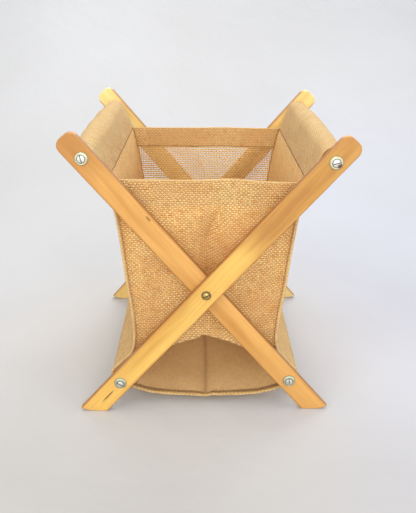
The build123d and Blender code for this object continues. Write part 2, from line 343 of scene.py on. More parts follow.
def wood(name, side, shift, light, dark, aged=(0, 0), crack=False, fleck=None):
    """Lacquered wood whose grain runs along a slat that leans to that side at the top.

    side 0 is a bar that lies along Y. shift moves the figure, so that no two pieces
    match. aged gives the two distances up the slat from the pivot between which old
    varnish turns brown. fleck is a knot's place along and across the slat.
    """
    g = Graph(name)
    place = g.node("ShaderNodeTexCoord").outputs["Object"]

    def along(direction, offset=0.0):
        dot = g.node("ShaderNodeVectorMath", {0: place, 1: direction}, operation="DOT_PRODUCT")
        return g.maths("ADD", dot.outputs["Value"], offset)

    rise, run = math.cos(LEAN), math.sin(LEAN)
    if side:
        length = along((side * run, 0, rise), -PIVOT_Z * rise)
        across = along((side * rise, 0, -run), PIVOT_Z * run)
        depth = along((0, 1, 0))
    else:
        length, across, depth = along((0, 1, 0)), along((1, 0, 0)), along((0, 0, 1))
    wander = g.noise(g.vector(g.maths("MULTIPLY", length, 7.0), shift), 1.0, 1.0)
    bent = g.maths("MULTIPLY_ADD", wander, 0.012, across)

    def streaks(stretch, fine, detail=3.0):
        vector = g.vector(
            g.maths("MULTIPLY_ADD", length, stretch, shift),
            g.maths("MULTIPLY", bent, fine),
            g.maths("MULTIPLY", depth, fine * 0.6),
        )
        return g.noise(vector, 1.0, detail)

    broad, grain, pores = streaks(5.0, 60.0), streaks(14.0, 420.0), streaks(70.0, 1500.0, 2.0)
    bright = tuple(min(1, 1.12 * c) for c in light)
    colour = g.ramp(broad, [(0.30, dark), (0.52, light), (0.74, bright)])
    colour = g.mix(g.remap(grain, 0.42, 0.66, 0.0, 0.34), colour, (*dark, 1))
    colour = g.mix(g.remap(pores, 0.60, 0.72, 0.0, 0.30), colour, (0.34, 0.15, 0.04, 1))
    if aged[1]:
        reach = g.remap(length, aged[0], aged[1], 0.0, 1.0, True)
        old = g.maths("MULTIPLY", streaks(9.0, 90.0), reach)
        colour = g.mix(g.remap(old, 0.16, 0.52, 0.0, 0.88), colour, (0.40, 0.175, 0.042, 1))
    soil_and_shade = g.noise(place, 28.0, 3.0)
    colour = g.mix(g.remap(soil_and_shade, 0.56, 0.80, 0.0, 0.22), colour, (0.42, 0.21, 0.07, 1))
    if side:
        # Brown varnish along the rim with painted shade on its outline, painted shade on the narrow
        # sides, and handled ends.
        aside = g.maths("ABSOLUTE", across)
        rim = g.maths("MULTIPLY_ADD", g.maths("SUBTRACT", grain, 0.5), 4 * MM, aside)
        colour = g.mix(g.remap(rim, 10.0 * MM, 12.2 * MM, 0.0, 0.68, True), colour, (0.48, 0.21, 0.05, 1))
        edge = g.remap(aside, 12.0 * MM, 12.6 * MM, 0.0, 0.7, True)
        colour = g.mix(edge, colour, (0.26, 0.105, 0.028, 1))
        handled = 0.42 if aged[1] else 0.0
        ends = g.remap(g.maths("ABSOLUTE", length), 0.186, 0.222, 0.0, handled, True)
        colour = g.mix(ends, colour, (0.50, 0.24, 0.07, 1))
    height = g.maths("ADD", g.maths("MULTIPLY", grain, 0.5), g.maths("MULTIPLY", pores, 0.4))
    if crack:
        # A drying split that runs from below the bottom screw towards the foot.
        line = g.maths("MULTIPLY_ADD", wander, 0.008, across)
        beside = g.maths("ABSOLUTE", g.maths("SUBTRACT", line, 0.0050))
        near = g.remap(beside, 0.0003, 0.0013, 1.0, 0.0)
        start = g.remap(length, -0.160, -0.166, 0.0, 1.0)
        stop = g.remap(length, -0.184, -0.176, 0.0, 1.0)
        split = g.maths("MULTIPLY", near, g.maths("MULTIPLY", start, stop))
        colour = g.mix(g.maths("MULTIPLY", split, 0.88), colour, (0.09, 0.035, 0.012, 1))
        height = g.maths("MULTIPLY_ADD", split, -2.5, height)
    if fleck:
        # A small dark knot, longer along the grain.
        du = g.maths("DIVIDE", g.maths("SUBTRACT", length, fleck[0]), 0.0042)
        dv = g.maths("DIVIDE", g.maths("SUBTRACT", bent, fleck[1]), 0.0012)
        far = g.maths("ADD", g.maths("MULTIPLY", du, du), g.maths("MULTIPLY", dv, dv))
        knot = g.remap(far, 0.3, 1.2, 0.75, 0.0, True)
        colour = g.mix(knot, colour, (0.16, 0.065, 0.02, 1))
    rough = g.remap(grain, 0.3, 0.7, 0.42, 0.54)
    g.shader.inputs["Coat Weight"].default_value = 0.12
    g.shader.inputs["Coat Roughness"].default_value = 0.35
    g.shader.inputs["Specular IOR Level"].default_value = 0.3
    return g.finish(Base_Color=colour, Roughness=rough, Normal=g.bump(height, 0.12 * MM, 0.6))


def metal(name, colour, dull, roughness, grime_and_shade, length=0.0, stain=None):
    """Plated or plain metal with tarnish in patches, and soiling with painted shade round a face that
    looks along Y.

    Its grime argument gives where the soiling and painted shade start and where they are full. With a
    length, the piece's size along Y, that is a depth under the face; without one, a share of the piece's
    width from its middle. Its stain argument is a place in X and Z with a dark red-brown patch on it.
    """
    g = Graph(name)
    coords = g.node("ShaderNodeTexCoord").outputs
    worn, fine = g.noise(coords["Object"], 420.0, 4.0), g.noise(coords["Object"], 2600.0, 2.0)
    share = g.node("ShaderNodeSeparateXYZ", {0: coords["Generated"]}).outputs
    if length:
        nearer = g.maths("MINIMUM", share[1], g.maths("SUBTRACT", 1.0, share[1]))
        reach = g.maths("MULTIPLY", nearer, length)
    else:
        across, up = g.maths("SUBTRACT", share[0], 0.5), g.maths("SUBTRACT", share[2], 0.5)
        square = g.maths("ADD", g.maths("MULTIPLY", across, across), g.maths("MULTIPLY", up, up))
        reach = g.maths("SQRT", square)
    # Painted shade in the groove round the face, together with soiling.
    grime_and_shade_share = g.remap(reach, grime_and_shade[0], grime_and_shade[1], 0.0, 0.88, True)
    tarnish = g.maths("MAXIMUM", g.remap(worn, 0.45, 0.70, 0.0, 0.40), grime_and_shade_share)
    tone = g.mix(tarnish, (*colour, 1), (*dull, 1))
    shine = g.remap(grime_and_shade_share, 0.0, 1.0, 0.85, 0.35)
    # A dark red-brown patch round one place in X and Z.
    if stain:
        point = (stain[0], 0.0, stain[1])
        gap = g.node("ShaderNodeVectorMath", {0: coords["Object"], 1: point}, operation="SUBTRACT")
        flat = g.node("ShaderNodeVectorMath", {0: gap.outputs[0], 1: (1, 0, 1)}, operation="MULTIPLY")
        far = g.node("ShaderNodeVectorMath", {0: flat.outputs[0]}, operation="LENGTH")
        edge = g.maths("MULTIPLY_ADD", worn, 2.5 * MM, far.outputs["Value"])
        rust = g.remap(edge, 3.2 * MM, 4.6 * MM, 0.92, 0.0, True)
        tone = g.mix(rust, tone, (0.10, 0.028, 0.012, 1))
        shine = g.maths("MULTIPLY", shine, g.maths("SUBTRACT", 1.0, rust))
    rough = g.remap(worn, 0.3, 0.7, roughness, roughness + 0.18)
    normal = g.bump(fine, 0.04 * MM, 0.4)
    return g.finish(Base_Color=tone, Metallic=shine, Roughness=rough, Normal=normal)


def sewing_thread():
    """Jute twine, nearly the colour of the burlap."""
    g = Graph("sewing_thread")
    place = g.node("ShaderNodeTexCoord").outputs["Object"]
    tone = g.ramp(g.noise(place, 900.0), [(0.3, (0.62, 0.38, 0.16)), (0.7, (0.88, 0.62, 0.30))])
    return g.finish(Base_Color=tone, Roughness=0.8)


def floor_cloth():
    """The white sheet under and behind the basket, with faint soft wrinkles.

    Light and shade are painted on it: painted light near the basket that lifts the basket's shadow there,
    painted shade high up and to the right, and painted cool light low on the right. It is also warmer in
    front.
    """
    g = Graph("floor_cloth")
    place = g.node("ShaderNodeTexCoord").outputs["Object"]
    dull, plain = (0.440, 0.436, 0.430), (0.480, 0.480, 0.482)
    tone = g.ramp(g.noise(place, 2.2, 3.0), [(0.3, dull), (0.7, plain)])
    side, depth, height = g.node("ShaderNodeSeparateXYZ", {0: place}).outputs
    # Painted shade: the backdrop darkens as it rises.
    tone = g.mix(g.remap(height, 0.1, 1.3, 0.0, 0.30), tone, (0.22, 0.22, 0.225, 1))
    # Painted shade to the right, stronger higher up.
    rightward = g.remap(side, -0.5, 0.5, 0.0, 0.34, True)
    shade = g.maths("MULTIPLY", rightward, g.remap(height, 0.0, 0.4, 0.2, 1.0))
    tone = g.mix(shade, tone, (0.22, 0.22, 0.23, 1))
    # Painted light: paler and warmer near the basket, which lifts its shadow there.
    near = g.node("ShaderNodeVectorMath", {0: place}, operation="LENGTH").outputs["Value"]
    tone = g.mix(g.remap(near, 0.12, 0.36, 0.50, 0.0, True), tone, (0.575, 0.555, 0.53, 1))
    # Painted cool light low on the right.
    painted_cool_light = g.mix(1.0, tone, (0.985, 1.0, 1.075, 1), "MULTIPLY")
    low = g.remap(height, 0.02, 0.25, 1.0, 0.0, True)
    tone = g.mix(g.maths("MULTIPLY", g.remap(side, 0.0, 0.3, 0.0, 1.0, True), low), tone, painted_cool_light)
    warm = g.mix(1.0, tone, (0.915, 0.895, 0.86, 1), "MULTIPLY")
    tone = g.mix(g.remap(depth, -0.08, -0.30, 0.0, 1.0, True), tone, warm)
    folds = g.noise(place, 7.0, 4.0, 0.55)
    return g.finish(Base_Color=tone, Roughness=0.95, Normal=g.bump(folds, 9 * MM, 0.5))


# ---------------------------------------------------------------- shapes
def steps_along(path):
    """The distance from each point of a path to the next."""
    return np.linalg.norm(np.diff(path, axis=0), axis=1)


def spline(points, count):
    """count points spread evenly along a smooth curve through the given ones."""
    fine = 24  # steps between two given points
    p = np.array(points, float)
    p = np.vstack([2 * p[0] - p[1], p, 2 * p[-1] - p[-2]])
    out = []
    for i in range(1, len(p) - 2):
        a, b, c, d = p[i - 1 : i + 3]
        for t in np.linspace(0, 1, fine, endpoint=i == len(p) - 3):
            bend = (2 * a - 5 * b + 4 * c - d) * t * t + (3 * b - a - 3 * c + d) * t**3
            out.append(0.5 * (2 * b + (c - a) * t + bend))
    out = np.array(out)
    run = np.r_[0, steps_along(out).cumsum()]
    even = np.linspace(0, run[-1], count)
    return np.stack([np.interp(even, run, out[:, k]) for k in range(p.shape[1])], axis=1)


def step(value, low, high):
    """0 below low, 1 above high and smooth between."""
    t = np.clip((np.asarray(value, float) - low) / (high - low), 0, 1)
    return t * t * (3 - 2 * t)


def ripple(points, seed, size, depth):
    """Soft uneven waves: one number for each point, at most about depth."""
    flat = np.asarray(points).reshape(-1, 3)
    far = Vector((seed * 3.7, seed * 1.9, seed * 5.3))
    values = [noise.noise(Vector(p) / size + far) for p in flat]
    return depth * np.array(values).reshape(np.asarray(points).shape[:-1])


def grid_normals(rows):
    """Unit normals of a grid of points."""
    along = np.gradient(rows, axis=0)
    across = np.gradient(rows, axis=1)
    normal = np.cross(across, along)
    return normal / np.maximum(np.linalg.norm(normal, axis=2, keepdims=True), 1e-12)


def mesh_object(name, points, faces, material, uvs=None):
    """A smooth mesh piece. uvs holds one pair for each corner of each face."""
    mesh = bpy.data.meshes.new(name)
    mesh.from_pydata([tuple(p) for p in points], [], faces)
    if uvs is not None:
        layer = mesh.uv_layers.new(name="threads")
        layer.data.foreach_set("uv", np.asarray(uvs, np.float32).ravel())
    mesh.polygons.foreach_set("use_smooth", [True] * len(mesh.polygons))
    mesh.update()
    piece = bpy.data.objects.new(name, mesh)
    bpy.context.scene.collection.objects.link(piece)
    mesh.materials.append(material)
    return piece


def thread_map(rows, wrap):
    """Each point's place on the flat cloth, counted in threads across and along."""
    if wrap:
        rows = np.concatenate([rows, rows[:, :1]], axis=1)
    across = np.linalg.norm(np.diff(rows, axis=1), axis=2)
    along = np.linalg.norm(np.diff(rows, axis=0), axis=2)
    u = np.pad(np.cumsum(across, axis=1), ((0, 0), (1, 0)))
    v = np.pad(np.cumsum(along, axis=0), ((1, 0), (0, 0)))
    u -= u[:, u.shape[1] // 2, None]
    return np.stack([u / WARP_PITCH, v / WEFT_PITCH], axis=2)


def level_map(rows, way=-1):
    """Like thread_map, for an upright sheet whose threads stay upright and level.

    way is -1 for rows that run down the sheet and 1 for rows that run up it.
    """
    return np.stack([rows[:, :, 0] / WARP_PITCH, way * rows[:, :, 2] / WEFT_PITCH], axis=2)


def grid_piece(name, rows, material, thickness=CLOTH, wrap=False, flat=None):
    """A sheet from a grid of points, or a tube when its columns wrap round.

    flat is the points' thread map, if the one measured along the grid won't do.
    """
    rows = np.asarray(rows, float)
    tall, wide = rows.shape[:2]
    faces, uvs = [], []
    steps = wide if wrap else wide - 1
    flat = thread_map(rows, wrap) if flat is None else flat
    for i in range(tall - 1):
        for j in range(steps):
            right = (j + 1) % wide
            faces.append((i * wide + j, i * wide + right, (i + 1) * wide + right, (i + 1) * wide + j))
            uvs += [flat[i, j], flat[i, j + 1], flat[i + 1, j + 1], flat[i + 1, j]]
    piece = mesh_object(name, rows.reshape(-1, 3), faces, material, uvs)
    if thickness:
        shell = piece.modifiers.new("thickness", "SOLIDIFY")
        shell.thickness = thickness
        shell.offset = 0.0
        shell.use_even_offset = True
    return piece


def cap_ends(piece, ring, count):
    """Closes both ends of a tube made by grid_piece."""
    mesh = piece.data
    shape = bmesh.new()
    shape.from_mesh(mesh)
    shape.verts.ensure_lookup_table()
    shape.faces.new([shape.verts[i] for i in range(ring)][::-1])
    last = (count - 1) * ring
    shape.faces.new([shape.verts[last + i] for i in range(ring)])
    shape.normal_update()
    shape.to_mesh(mesh)
    shape.free()


def closed_tube(name, path, across, material, half, steps=14):
    """A tube round a path: half[0] along each across vector and half[1] along Y."""
    along_y = np.array((0.0, 1.0, 0.0))
    turns = np.linspace(0, 2 * math.pi, steps, endpoint=False)
    rings = []
    for p, n in zip(path, across):
        rings.append([p + n * half[0] * math.cos(a) + along_y * half[1] * math.sin(a) for a in turns])
    piece = grid_piece(name, rings, material, 0, wrap=True)
    cap_ends(piece, steps, len(rings))
    return piece


def edge_roll(name, path, material, half):
    """The thick rolled edge of a hemmed strip, along a path that lies in one XZ plane."""
    run = np.gradient(path, axis=0)
    run /= np.linalg.norm(run, axis=1, keepdims=True)
    return closed_tube(name, path, np.cross(run, (0, 1, 0)), material, half)


def stitches(name, path, out, material):
    """A row of running stitches: small rounded bars laid along a path, bowed out."""
    path, out = np.asarray(path, float), np.asarray(out, float)
    run = np.r_[0, steps_along(path).cumsum()]
    ring = 6  # points round a bar
    points, faces = [], []
    for middle in np.arange(STITCH_PITCH / 2, run[-1] - STITCH_PITCH / 2, STITCH_PITCH):
        spots = middle + STITCH_LENGTH * np.array([-0.5, -0.3, 0.0, 0.3, 0.5])
        line = np.stack([np.interp(spots, run, path[:, k]) for k in range(3)], axis=1)
        lift = np.stack([np.interp(spots, run, out[:, k]) for k in range(3)], axis=1)
        way = line[-1] - line[0]
        way /= np.linalg.norm(way)
        base = len(points)
        rise = np.array([-0.6, 0.5, 0.9, 0.5, -0.6]) * STITCH_RADIUS
        thick = np.array([0.5, 0.9, 1.0, 0.9, 0.5]) * STITCH_RADIUS
        for p, n, up, r in zip(line, lift, rise, thick):
            side = np.cross(way, n)
            for a in np.linspace(0, 2 * math.pi, ring, endpoint=False):
                points.append(p + n * (up + r * math.sin(a)) + side * r * math.cos(a))
        last = len(points) - ring
        for start in range(base, last, ring):
            for j in range(ring):
                k = (j + 1) % ring
                faces.append((start + j, start + k, start + ring + k, start + ring + j))
        faces.append(tuple(base + j for j in range(ring))[::-1])
        faces.append(tuple(last + j for j in range(ring)))
    return mesh_object(name, points, faces, material)


def follow_fold(piece, body):
    """The piece rides on a body of the bag and gets a mesh of its own."""
    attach(piece, body)
    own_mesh(piece)


# ---------------------------------------------------------------- the bag's shape
# One side wall seen from the front: distance from the middle and height, in mm, from
# inside its top casing down to where it turns round the bottom bar.
WALL = [
    (113.5, 289.0),
    (104.0, 272.0),
    (97.0, 240.0),
    (91.5, 200.0),
    (86.5, 150.0),
    (82.5, 118.0),
    (81.0, 90.0),
    (84.5, 70.0),
    (95.0, 58.0),
    (106.0, 47.5),
]
WALL_LINE = spline(WALL, 260) * MM
BELLY = 14 * MM  # how much further out a wall stands midway between the panels


def wall_x(z):
    """Distance of the wall's front edge from the middle at a height."""
    return np.interp(z, WALL_LINE[::-1, 1], WALL_LINE[::-1, 0])


def wall_rows(side, y_values, rows=90, low=0.0, high=1.0, inward=0.0):
    """Points of a wall for the part of its length from low to high, moved inward."""
    run = np.linspace(low, high, rows)
    spots = np.linspace(0, 1, len(WALL_LINE))
    x = np.interp(run, spots, WALL_LINE[:, 0])
    z = np.interp(run, spots, WALL_LINE[:, 1])
    belly = step(z, 0.048, 0.100) * (1 - step(z, 0.150, 0.262))
    grid = np.zeros((rows, len(y_values), 3))
    for j, y in enumerate(y_values):
        out = BELLY * belly * max(0.0, 1 - (y / PANEL_Y) ** 2)
        grid[:, j, 0] = side * (x + out - inward)
        grid[:, j, 1] = y
        grid[:, j, 2] = z
    wave = ripple(grid, 3 + side, 0.045, 1.3 * MM) * belly[:, None]
    wave *= 1 - (np.asarray(y_values)[None, :] / CLOTH_END) ** 8
    grid[:, :, 0] += side * wave
    return grid


def make_walls(cloth, edge):
    """Both side walls with their rolled front and back edges."""
    y_values = np.linspace(-CLOTH_END, CLOTH_END, 84)
    for side in (LEFT, RIGHT):
        name = SIDE_NAME[side]
        wall = grid_piece(f"wall_{name}", wall_rows(side, y_values), cloth)
        follow_fold(wall, "bag")
        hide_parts(f"side_wall_{name}")
        for end in (FRONT, BACK):
            y = end * (CLOTH_END - EDGE_INSET)
            path = wall_rows(side, [y], 110)[:, 0, :]
            path[:, 0] += ripple(path, 9 + side + end, 0.03, 0.35 * MM)
            roll = edge_roll(f"wall_edge_{name}_{END_NAME[end]}", path, edge, (1.75 * MM, 3.1 * MM))
            follow_fold(roll, "bag")


def bar_arc(bar, side, radius, degrees):
    """Points round a bar in the XZ plane. 0 degrees is outward from the middle, 90 is up."""
    a = np.radians(degrees)
    x = side * (bar.x + radius * np.cos(a))
    z = bar.z + radius * np.sin(a)
    return np.stack([x, np.zeros_like(x), z], axis=1)


def make_top_casings(cloth, edge):
    """The loose cloth tubes over the top bars: a drop whose tail closes on the wall."""
    tail = 0.036  # from the bar's middle to the drop's tip
    meet = np.array([0.104, 0.272])  # the tip's place on the wall, in X and Z
    outward = np.array([TOP_BAR.x, TOP_BAR.z]) - meet
    heading = math.degrees(math.atan2(-outward[1], -outward[0]))
    square = np.array([-outward[1], outward[0]]) / np.linalg.norm(outward)
    tips = [meet - square * 0.35 * MM, meet + square * 0.35 * MM]
    y_values = np.linspace(-CLOTH_END, CLOTH_END, 64)
    for side in (LEFT, RIGHT):
        name = SIDE_NAME[side]
        rows = []
        for y in y_values:
            full = 1 - (y / CLOTH_END) ** 2
            radius = (11.4 + 2.3 * full) * MM
            spread = math.degrees(math.acos(min(0.98, radius / tail)))
            turn = np.linspace(heading + spread, heading + 360 - spread, 46)
            loose = 1 + 0.10 * full * np.sin(np.radians(turn - heading) / 2) ** 4
            ring_x = TOP_BAR.x + radius * loose * np.cos(np.radians(turn))
            ring_z = TOP_BAR.z + radius * loose * np.sin(np.radians(turn))
            ring = np.stack([ring_x, ring_z], axis=1)
            near = [tips[0] + (ring[0] - tips[0]) * t for t in np.linspace(0, 0.93, 14)]
            far = [ring[-1] + (tips[1] - ring[-1]) * t for t in np.linspace(0.07, 1, 14)]
            line = np.array([*near, *ring, *far])
            rows.append([(side * x, y, z) for x, z in line])
        rows = np.array(rows).transpose(1, 0, 2)
        if side == LEFT:
            rows = rows[::-1]
        from_tip = np.minimum(np.arange(len(rows)), np.arange(len(rows))[::-1])
        calm = np.clip(from_tip / 10, 0, 1)[:, None]  # the seam on the wall stays straight
        waves = calm * ripple(rows, 20 + side, 0.032, 1.2 * MM)
        rows = rows + grid_normals(rows) * waves[..., None]
        casing = grid_piece(f"casing_{name}", rows, cloth, 0.6 * MM)
        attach(casing, TOP_BODY[side])
        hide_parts(f"top_casing_{name}")
        for end in (FRONT, BACK):
            j = 0 if end == FRONT else -1
            path = rows[:, j].copy()
            path[:, 1] -= end * 1.6 * MM
            roll = edge_roll(f"casing_edge_{name}_{END_NAME[end]}", path, edge, (1.1 * MM, 2.0 * MM))
            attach(roll, TOP_BODY[side])


def make_bottom_wraps(cloth, edge):
    """The cloth that turns round the outer side of each bottom bar."""
    y_values = np.linspace(-CLOTH_END, CLOTH_END, 50)
    radius = 11.6 * MM
    start, leave = -108, 47  # degrees round the bar, from the sling to the wall
    for side in (LEFT, RIGHT):
        name = SIDE_NAME[side]
        arc = bar_arc(BOTTOM_BAR, side, radius, np.linspace(start, leave, 40))
        way = np.array([-math.sin(math.radians(leave)), 0, math.cos(math.radians(leave))])
        way[0] *= side
        tail = [arc[-1] + way * d * MM for d in (3, 6, 9, 12)]
        line = np.array([*arc, *tail])[::-1]
        rows = np.repeat(line[:, None, :], len(y_values), axis=1)
        rows[:, :, 1] = y_values
        if side == RIGHT:
            rows = rows[:, ::-1]
        wrap = grid_piece(f"wrap_{name}", rows, cloth)
        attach(wrap, BOTTOM_BODY[side])
        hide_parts(f"bottom_wrap_{name}")
        for end in (FRONT, BACK):
            path = line.copy()
            path[:, 1] = end * (CLOTH_END - EDGE_INSET)
            roll = edge_roll(f"wrap_edge_{name}_{END_NAME[end]}", path, edge, (1.6 * MM, 3.1 * MM))
            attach(roll, BOTTOM_BODY[side])


# The bottom strip's front edge, from the middle out to one bar, in mm.
SLING = [(0.0, 11.8), (22.0, 11.9), (46.0, 12.8), (66.0, 15.8), (84.0, 21.4), (96.0, 27.2)]
SLING_COLUMNS = 90
SLING_CREASE_X = 1.5 * MM
SLING_HEM = 10 * MM


def sling_rows(y_values):
    """Points of the cloth under the bag."""
    half = spline(SLING, 60) * MM
    x = np.linspace(-half[-1, 0], half[-1, 0], SLING_COLUMNS)
    z = np.interp(np.abs(x), half[:, 0], half[:, 1])
    grid = np.zeros((len(y_values), SLING_COLUMNS, 3))
    for i, y in enumerate(y_values):
        inner = 1 - (y / CLOTH_END) ** 2
        grid[i, :, 0] = x
        grid[i, :, 1] = y
        grid[i, :, 2] = z - 1.5 * MM * inner * (1 - (x / half[-1, 0]) ** 2)
    # A crease runs under the bag, and the hem is puckered beside it.
    crease = np.exp(-np.abs(grid[:, :, 0] - SLING_CREASE_X) / (8.0 * MM))
    grid[:, :, 2] -= 7.5 * MM * crease * (1 - 0.85 * (grid[:, :, 1] / CLOTH_END) ** 8)
    edge = (np.abs(grid[:, :, 1]) / CLOTH_END) ** 12
    pucker = np.exp(-(((grid[:, :, 0] - 10 * MM) / (4 * MM)) ** 2)) * edge
    grid[:, :, 2] += 1.3 * MM * pucker
    grid[:, :, 2] += ripple(grid, 31, 0.05, 0.9 * MM) * (1 - (x / half[-1, 0])[None, :] ** 4)
    return grid


def make_sling(cloth, hem_cloth, edge, thread):
    """The strip that runs under the bag from bar to bar, hemmed front and back."""
    y_values = np.linspace(-CLOTH_END, CLOTH_END, 90)
    rows = sling_rows(y_values)
    sling = grid_piece("sling", rows, cloth)
    follow_fold(sling, "sling")
    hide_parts("bottom_sling")
    for end in (FRONT, BACK):
        band_y = np.linspace(end * (CLOTH_END - SLING_HEM), end * CLOTH_END, 10)
        band = sling_rows(band_y)
        band[:, :, 2] += np.linspace(0.7, 2.3, 10)[:, None] ** 1.4 * MM
        if end == BACK:
            band = band[::-1]
        hem = grid_piece(f"sling_hem_{END_NAME[end]}", band, hem_cloth, HEM_CLOTH)
        follow_fold(hem, "sling")
        up = np.tile((0.0, 0.0, 1.0), (SLING_COLUMNS, 1))
        line = sling_rows([end * (CLOTH_END - 1.4 * MM)])[0]
        line[:, 2] += 0.9 * MM
        roll = closed_tube(f"sling_edge_{END_NAME[end]}", line, up, edge, (2.0 * MM, 1.5 * MM), 12)
        follow_fold(roll, "sling")
        path = sling_rows([end * (CLOTH_END - SLING_HEM + 1.6 * MM)])[0]
        path[:, 2] += 1.6 * MM
        row = stitches(f"sling_stitches_{END_NAME[end]}", path, up, thread)
        follow_fold(row, "sling")


# The edge where a panel turns back into the floor, seen from the front, in mm.
FOLD_EDGE = [
    (-83.0, 50.0),
    (-74.0, 42.5),
    (-62.0, 49.0),
    (-52.0, 61.5),
    (-40.5, 74.5),
    (-31.0, 81.5),
    (-20.0, 86.0),
    (-9.0, 89.5),
    (-1.0, 94.0),
    (9.5, 90.5),
    (22.5, 86.5),
    (41.5, 76.5),
    (52.0, 66.5),
    (61.0, 56.0),
    (74.0, 45.0),
    (83.0, 50.0),
]
FOLD_HALF = 0.0825  # half of that edge's width
PANEL_ROWS, PANEL_COLUMNS = 90, 113
CREASE_TOP_X = 15 * MM  # where the crease down the front panel starts, at its top edge
HEM_DEPTH = 27 * MM
HEM_SHARE = 0.14  # of a panel's rows that lie in its hem


def fold_height(x):
    """Height of the edge between the front panel and the floor."""
    line = spline(FOLD_EDGE, 240) * MM
    return np.interp(x, line[:, 0], line[:, 1])


def panel_rows(end):
    """Points of the front or back panel, from its top edge down to the fold."""
    s = np.linspace(-1, 1, PANEL_COLUMNS)
    s = s * (0.55 + 0.45 * np.abs(s))  # closer together near the crease
    low_edge = fold_height(s * FOLD_HALF)
    t = np.linspace(0, 1, PANEL_ROWS)[:, None]
    # How far the wavy top edge stands above its mean height.
    if end == FRONT:
        crest = 2.4 * MM * np.exp(-(((s - 0.14) / 0.26) ** 2)) - 1.0 * MM * s
    else:
        crest = 1.0 * MM * np.exp(-(((s - 0.3) / 0.35) ** 2)) + 1.4 * MM
    sewn = np.clip(t / HEM_SHARE, 0, 1)  # the hem's rows stay level
    below = np.clip((t - HEM_SHARE) / (1 - HEM_SHARE), 0, 1)
    z = PANEL_TOP + crest * (1 - t) - HEM_DEPTH * sewn
    z += (low_edge - PANEL_TOP + HEM_DEPTH) * below
    level = PANEL_TOP - HEM_DEPTH * sewn + (low_edge[0] - PANEL_TOP + HEM_DEPTH) * below
    half = wall_x(level) - PANEL_INSET
    # A crease folds the panel inward. It starts beside the middle and wanders to it.
    lean = CREASE_TOP_X * (1 - step(t, 0.13, 0.38)) * (1 if end == FRONT else -0.8)
    x = s * half + lean * (1 - np.abs(s)) ** 1.5
    away = np.abs(s) * half
    sharp = np.exp(-away / (10 * MM)) * (1 - step(away, 25 * MM, 80 * MM))
    depth = (2.0 + 8.0 * step(t, 0.09, 0.30)) * (1 - step(t, 0.60, 0.84)) * MM
    start, strength = (0.15, 1.0) if end == FRONT else (0.40, 0.3)
    hollow = step(t, start, 0.66) * (1 - 0.7 * step(t, 0.66, 1.0))
    broad = 15.0 * MM * hollow * np.cos(np.abs(s) * math.pi / 2) ** 1.5
    deep = depth * sharp * strength + broad
    # The cloth swells out beside the crease and leans out to its lower lip.
    swell = 2.0 * MM * np.sin(math.pi * np.clip(np.abs(s), 0, 1)) ** 2 * step(t, 0.05, 0.4)
    lip = 7.0 * MM * step(t, 0.80, 1.0) * (1 - np.abs(s) ** 4)
    y = end * (PANEL_Y - deep + swell + lip)
    rows = np.stack([x, y, z], axis=2)
    wave = ripple(rows, 41 + end, 0.036, 1.6 * MM) + ripple(rows, 61 + end, 0.015, 0.5 * MM)
    rows[:, :, 1] += wave * (1 - np.abs(s) ** 6)
    return rows


def make_box_strip(cloth, open_cloth, hem_cloth, edge, thread):
    """Front panel, tented floor and back panel: one strip, sewn to both walls."""
    front, back = panel_rows(FRONT), panel_rows(BACK)[::-1]
    middle = PANEL_COLUMNS // 2
    s = np.linspace(-1, 1, PANEL_COLUMNS)

    def turn_under(last, end):
        """A rounded lip from a panel's lower edge round to the floor."""
        rows = []
        radius = 4.2 * MM * (1 - 0.5 * np.abs(s) ** 4)
        for a in np.linspace(0.2, math.pi / 2, 7):
            row = last.copy()
            row[:, 1] = last[:, 1] - end * radius * (1 - math.cos(a))
            row[:, 2] = last[:, 2] - radius * math.sin(a)
            rows.append(row)
        return np.array(rows)

    front_lip = turn_under(front[-1], FRONT)
    back_lip = turn_under(back[0], BACK)[::-1]
    floor = []
    for t in np.linspace(0, 1, 62)[1:-1]:
        row = front_lip[-1] * (1 - t) + back_lip[0] * t
        row[:, 2] -= 12 * MM * math.sin(math.pi * t) * np.cos(s * math.pi / 2)
        floor.append(row)
    floor = np.array(floor)
    floor[:, :, 2] += ripple(floor, 51, 0.05, 1.5 * MM)
    rows = np.concatenate([front, front_lip, floor, back_lip, back])
    # Over the floor the thread map runs on evenly from one panel to the other.
    first, last = len(front) - 1, len(rows) - len(back)
    flat = level_map(rows)
    flat[last:] = level_map(back, 1)
    run = steps_along(rows[first : last + 1, middle]).cumsum()
    flat[last:] += (0, 10)  # threads, to give the floor enough of them
    for i, share in enumerate(run[:-1] / run[-1]):
        flat[first + 1 + i] = flat[first] * (1 - share) + flat[last] * share
    strip = grid_piece("panels_and_floor", rows, cloth, flat=flat)
    strip.data.materials.append(open_cloth)
    for face in strip.data.polygons[len(front) * (PANEL_COLUMNS - 1) :]:
        face.material_index = 1
    follow_fold(strip, "bag")
    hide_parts("front_panel", "back_panel", "bag_floor")

    for end, panel in ((FRONT, front), (BACK, back[::-1])):
        name = END_NAME[end]
        count = 1 + round(HEM_SHARE * (len(panel) - 1))
        band = panel[:count].copy()
        band[:, :, 1] -= end * 1.05 * MM
        band[-1, :, 1] += end * 0.5 * MM
        hem = grid_piece(f"panel_hem_{name}", band, hem_cloth, HEM_CLOTH, flat=level_map(band))
        follow_fold(hem, "bag")
        seam = panel[count - 2].copy()
        seam[:, 1] -= end * 1.5 * MM
        inward = np.tile((0.0, -end, 0.0), (PANEL_COLUMNS, 1))
        follow_fold(stitches(f"hem_seam_inside_{name}", seam, inward, thread), "bag")
        seam = panel[count - 2].copy()
        seam[:, 1] += end * 0.55 * MM
        outward = np.tile((0.0, end, 0.0), (PANEL_COLUMNS, 1))
        follow_fold(stitches(f"hem_seam_outside_{name}", seam, outward, thread), "bag")
        top = panel[0].copy()
        top[:, 1] -= end * 0.5 * MM
        up = np.tile((0.0, 0.0, 1.0), (PANEL_COLUMNS, 1))
        roll = closed_tube(f"panel_top_{name}", top, up, edge, (1.0 * MM, 1.25 * MM), 10)
        follow_fold(roll, "bag")


